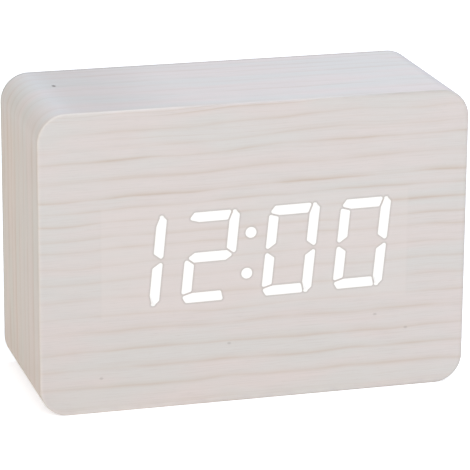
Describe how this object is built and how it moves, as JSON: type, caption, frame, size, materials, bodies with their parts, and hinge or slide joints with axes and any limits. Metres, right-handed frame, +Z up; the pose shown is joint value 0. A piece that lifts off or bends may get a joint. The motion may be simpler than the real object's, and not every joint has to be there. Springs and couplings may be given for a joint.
{
  "type": "digital desk clock",
  "caption": "Brick-shaped wooden desk clock with slanted LED digits shining through its front veneer, rear keys, a power socket and a hinged battery door.",
  "frame": {"origin": "middle of the base, on the surface that the clock stands on", "axes": "+X along the width, to the right seen from the front; +Y towards the rear, so the front looks along -Y; +Z up"},
  "size_m": [0.1, 0.04, 0.07],
  "materials": {
    "fibreboard": "milled raw fibreboard",
    "white_veneer": "whitewashed matt veneer with fine grain along its length",
    "lit_segment": "glowing white light",
    "diffuser_film": "milky film",
    "reflector_plastic": "white moulded plastic",
    "led_package": "clear cap over phosphor",
    "circuit_board": "green solder mask",
    "chip_package": "black moulded plastic",
    "screw_steel": "plated steel",
    "bright_steel": "tin-plated sheet",
    "panel_plastic": "off-white plastic with fine moulded texture",
    "key_plastic": "grey satin plastic",
    "cell_sleeve": "plain dark printed sleeve over steel",
    "contact_nickel": "nickel-plated spring steel",
    "lead_red": "red insulation",
    "lead_black": "black insulation",
    "socket_plastic": "ivory nylon",
    "ribbon_jacket": "grey flat cable"
  },
  "bodies": {
    "case": {"case_block": "fibreboard", "front_veneer": "white_veneer", "edge_veneer": "white_veneer", "rear_veneer": "white_veneer", "digit_hour_tens": "lit_segment", "digit_hour_units": "lit_segment", "digit_minute_tens": "lit_segment", "digit_minute_units": "lit_segment", "colon_dots": "lit_segment", "light_diffuser": "diffuser_film", "segment_reflector": "reflector_plastic", "led_chips": "led_package", "display_board": "circuit_board", "display_screws": "screw_steel", "clock_chip": "chip_package", "crystal_can": "bright_steel", "alarm_buzzer": "chip_package", "rear_panel": "panel_plastic", "panel_screws": "screw_steel", "battery_bottom": "cell_sleeve", "battery_middle": "cell_sleeve", "battery_top": "cell_sleeve", "contact_plates": "contact_nickel", "contact_springs": "contact_nickel", "lead_positive": "lead_red", "lead_negative": "lead_black", "key_board": "circuit_board", "key_board_screws": "screw_steel", "switch_bodies": "chip_package", "usb_shell": "bright_steel", "usb_tongue": "chip_package", "cable_sockets": "socket_plastic", "ribbon_cable": "ribbon_jacket"},
    "set_key": {"key_set": "key_plastic", "plunger_set": "chip_package"},
    "up_key": {"key_up": "key_plastic", "plunger_up": "chip_package"},
    "down_key": {"key_down": "key_plastic", "plunger_down": "chip_package"},
    "door": {"battery_door": "panel_plastic"}
  },
  "joints": [
    {"name": "set_key_press", "type": "slide", "parent": "case", "child": "set_key", "axis": [0, -1, 0], "range_m": [0, 0.0005], "stiffness_N_per_m": 1200, "springref_m": -0.0005},
    {"name": "up_key_press", "type": "slide", "parent": "case", "child": "up_key", "axis": [0, -1, 0], "range_m": [0, 0.0005], "stiffness_N_per_m": 1200, "springref_m": -0.0005},
    {"name": "down_key_press", "type": "slide", "parent": "case", "child": "down_key", "axis": [0, -1, 0], "range_m": [0, 0.0005], "stiffness_N_per_m": 1200, "springref_m": -0.0005},
    {"name": "battery_door_hinge", "type": "hinge", "parent": "case", "child": "door", "pos_m": [0.006, 0.0181, 0.0184], "axis": [-1, 0, 0], "range_deg": [0, 90]}
  ]
}
